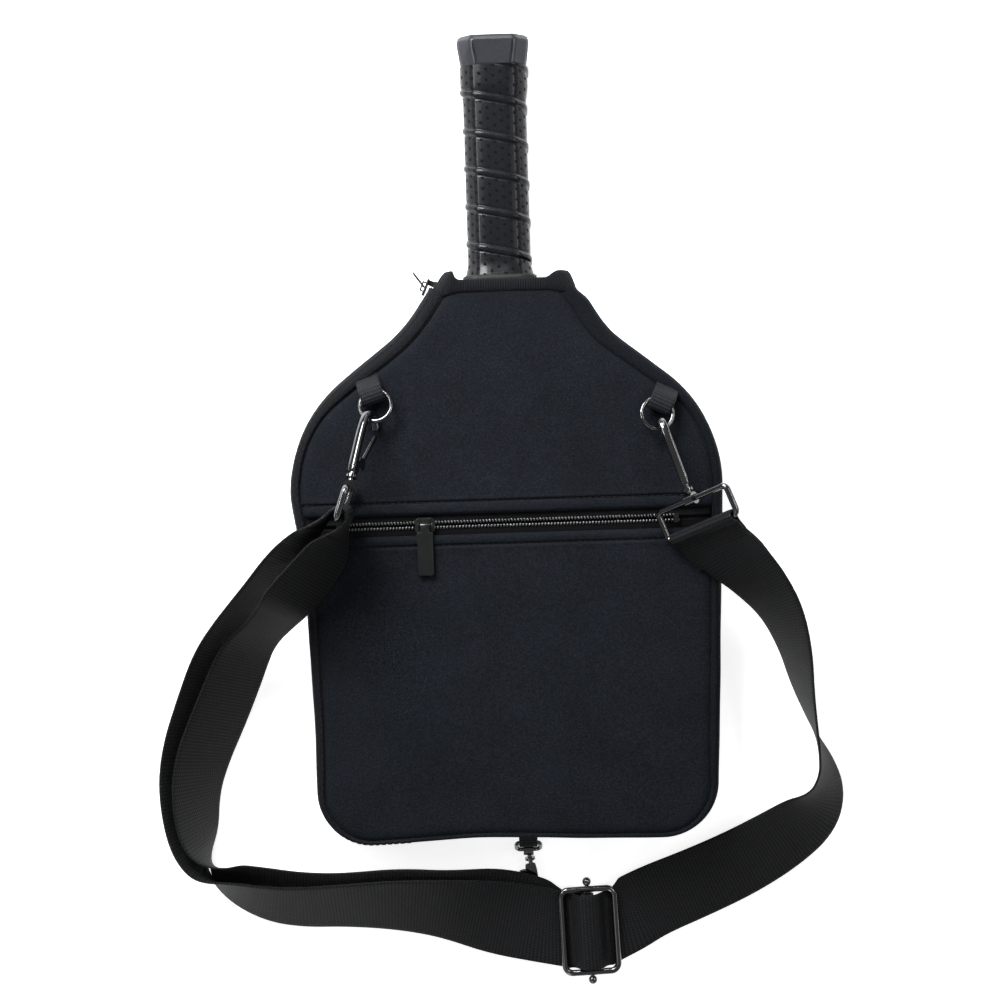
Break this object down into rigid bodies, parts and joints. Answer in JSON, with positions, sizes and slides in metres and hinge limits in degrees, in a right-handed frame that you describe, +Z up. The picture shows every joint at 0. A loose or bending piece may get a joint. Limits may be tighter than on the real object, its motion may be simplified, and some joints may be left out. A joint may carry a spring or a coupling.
{
  "type": "paddle sling case",
  "caption": "Padded zip case for a racket-sport paddle, with front zip pocket, the paddle's handle out of the neck, and an adjustable shoulder strap on snap hooks.",
  "frame": {"origin": "on the back panel's outer face, which the case lies on, on its centre line level with the widest part of the pocket", "axes": "+X to the right, +Y from the case's bottom towards the handle, +Z up out of the back panel"},
  "size_m": [0.3543, 0.4885, 0.0833],
  "materials": {
    "neoprene": "matte knitted face",
    "lining": "matte knit",
    "zip_tape": "woven twill",
    "zip_coil": "satin",
    "zip_slider_metal": "satin gunmetal",
    "seam_thread": "stitched thread",
    "ribbed_elastic": "ribbed elastic",
    "webbing": "flat woven",
    "dark_nickel": "polished dark nickel",
    "spring_steel": "bright",
    "paddle_core": "matt",
    "paddle_face": "fine grit",
    "edge_guard": "satin",
    "grip": "perforated cushioned wrap, slightly glossy",
    "grip_band": "satin",
    "butt_cap": "glossy"
  },
  "bodies": {
    "case": {"back_panel": "neoprene", "gusset": "neoprene", "front_upper_panel": "neoprene", "pocket_front_panel": "neoprene", "front_lining": "lining", "zip_tape_back": "zip_tape", "zip_tape_front": "zip_tape", "pocket_tape_upper": "zip_tape", "pocket_tape_lower": "zip_tape", "main_zip_coil": "zip_coil", "pocket_coil_upper": "zip_coil", "pocket_coil_lower": "zip_coil", "main_zip_stop": "zip_slider_metal", "pocket_zip_stops": "zip_slider_metal", "pocket_seam": "seam_thread", "neck_binding": "ribbed_elastic", "left_tab": "webbing", "right_tab": "webbing", "bottom_tab": "webbing", "strap_end_right": "webbing", "strap_right": "webbing", "strap_hump": "webbing", "strap_left": "webbing", "strap_fold_left": "webbing", "strap_return": "webbing", "strap_end_adjuster": "webbing"},
    "paddle": {"paddle_core": "paddle_core", "paddle_face_front": "paddle_face", "paddle_face_back": "paddle_face", "paddle_edge_guard": "edge_guard", "handle_core": "paddle_core", "grip_wrap": "grip", "grip_collar": "grip_band", "butt_cap": "butt_cap"},
    "pocket_slider": {"pocket_zip_slider": "zip_slider_metal"},
    "pocket_puller": {"pocket_zip_puller": "zip_slider_metal"},
    "main_slider": {"main_zip_slider": "zip_slider_metal"},
    "main_puller": {"main_zip_puller": "zip_slider_metal"},
    "left_hook": {"left_ring": "dark_nickel", "left_hook_body": "dark_nickel", "left_gate_pin": "dark_nickel", "left_gate_spring": "spring_steel"},
    "left_gate": {"left_hook_gate": "dark_nickel"},
    "left_swivel": {"left_swivel": "dark_nickel", "left_strap_loop": "dark_nickel"},
    "right_hook": {"right_ring": "dark_nickel", "right_hook_body": "dark_nickel", "right_gate_pin": "dark_nickel", "right_gate_spring": "spring_steel"},
    "right_gate": {"right_hook_gate": "dark_nickel"},
    "right_swivel": {"right_swivel": "dark_nickel", "right_strap_loop": "dark_nickel"},
    "bottom_eye": {"bottom_eye": "dark_nickel", "bottom_swivel": "dark_nickel"},
    "bottom_hook": {"bottom_hook_body": "dark_nickel", "bottom_gate_pin": "dark_nickel", "bottom_gate_spring": "spring_steel"},
    "bottom_gate": {"bottom_hook_gate": "dark_nickel"},
    "triglide": {"triglide_frame": "dark_nickel", "triglide_bar": "dark_nickel"}
  },
  "joints": [
    {"name": "paddle_slide", "type": "slide", "parent": "case", "child": "paddle", "axis": [0, 1, 0], "range_m": [-0.0015, 0.008]},
    {"name": "pocket_zip_slide", "type": "slide", "parent": "case", "child": "pocket_slider", "axis": [1, 0, 0], "range_m": [-0.028, 0.11], "deforming": ["pocket_coil_upper", "pocket_coil_lower"]},
    {"name": "pocket_puller_hinge", "type": "hinge", "parent": "pocket_slider", "child": "pocket_puller", "pos_m": [-0.0417, 0.025, 0.0349], "axis": [-1, 0, 0], "range_deg": [0, 150]},
    {"name": "main_zip_run", "type": "hinge", "parent": "case", "child": "main_slider", "pos_m": [-0.10397, 0.17497, 0.015], "axis": [0, 0, -1], "range_deg": [0, 20], "deforming": ["main_zip_coil"]},
    {"name": "main_puller_hinge", "type": "hinge", "parent": "main_slider", "child": "main_puller", "pos_m": [-0.03898, 0.146, 0.015], "axis": [0, 0, 1], "range_deg": [-20, 20]},
    {"name": "left_ring_lift", "type": "hinge", "parent": "case", "child": "left_hook", "pos_m": [-0.0664, 0.0932, 0.0365], "axis": [-0.9511, -0.309, 0], "range_deg": [0, 25], "deforming": ["left_tab", "strap_end_right", "strap_right", "strap_hump", "strap_left", "strap_fold_left", "strap_return", "strap_end_adjuster"]},
    {"name": "left_gate_hinge", "type": "hinge", "parent": "left_hook", "child": "left_gate", "pos_m": [-0.07163, 0.05715, 0.04965], "axis": [0.8748, 0.0192, 0.4841], "range_deg": [0, 20], "stiffness_Nm_per_rad": 0.02, "springref_deg": -2.86, "deforming": ["left_gate_spring"]},
    {"name": "left_swivel_turn", "type": "hinge", "parent": "left_hook", "child": "left_swivel", "pos_m": [-0.07556, 0.05239, 0.05693], "axis": [0.2055, 0.8901, -0.4067], "range_deg": [-10, 10], "deforming": ["strap_end_right", "strap_right", "strap_hump", "strap_left", "strap_fold_left", "strap_return", "strap_end_adjuster"]},
    {"name": "right_ring_lift", "type": "hinge", "parent": "case", "child": "right_hook", "pos_m": [0.0796, 0.0845, 0.0365], "axis": [-0.9026, 0.4305, 0], "range_deg": [0, 25], "deforming": ["right_tab", "strap_end_right", "strap_right", "strap_hump", "strap_left", "strap_fold_left", "strap_return", "strap_end_adjuster"]},
    {"name": "right_gate_hinge", "type": "hinge", "parent": "right_hook", "child": "right_gate", "pos_m": [0.0866, 0.04777, 0.04383], "axis": [0.9483, 0.3173, 0], "range_deg": [0, 20], "stiffness_Nm_per_rad": 0.02, "springref_deg": -2.86, "deforming": ["right_gate_spring"]},
    {"name": "right_swivel_turn", "type": "hinge", "parent": "right_hook", "child": "right_swivel", "pos_m": [0.08898, 0.04064, 0.04971], "axis": [-0.3161, 0.9447, -0.0872], "range_deg": [-10, 10], "deforming": ["strap_end_right", "strap_right", "strap_hump", "strap_left", "strap_fold_left", "strap_return", "strap_end_adjuster"]},
    {"name": "bottom_eye_lift", "type": "hinge", "parent": "case", "child": "bottom_eye", "pos_m": [0.00566, -0.1433, 0.00908], "axis": [-1, 0, 0], "range_deg": [0, 3], "deforming": ["bottom_tab", "strap_end_right", "strap_right", "strap_hump", "strap_left", "strap_fold_left", "strap_return", "strap_end_adjuster"]},
    {"name": "bottom_hook_turn", "type": "hinge", "parent": "bottom_eye", "child": "bottom_hook", "pos_m": [0.0065, -0.154, 0.0032], "axis": [0.1391, -0.9897, -0.0349], "range_deg": [-8, 8], "deforming": ["strap_end_right", "strap_right", "strap_hump", "strap_left", "strap_fold_left", "strap_return", "strap_end_adjuster"]},
    {"name": "bottom_gate_hinge", "type": "hinge", "parent": "bottom_hook", "child": "bottom_gate", "pos_m": [0.00246, -0.16264, 0.00292], "axis": [0.0049, -0.0346, 0.9994], "range_deg": [0, 20], "stiffness_Nm_per_rad": 0.02, "springref_deg": -2.86, "deforming": ["bottom_gate_spring", "strap_end_right", "strap_right", "strap_hump", "strap_left", "strap_fold_left", "strap_return", "strap_end_adjuster"]},
    {"name": "triglide_slide", "type": "slide", "parent": "case", "child": "triglide", "axis": [0.9993, 0.0366, 0], "range_m": [-0.005, 0.01], "deforming": ["strap_end_right", "strap_right", "strap_hump", "strap_left", "strap_fold_left", "strap_return", "strap_end_adjuster"]}
  ]
}
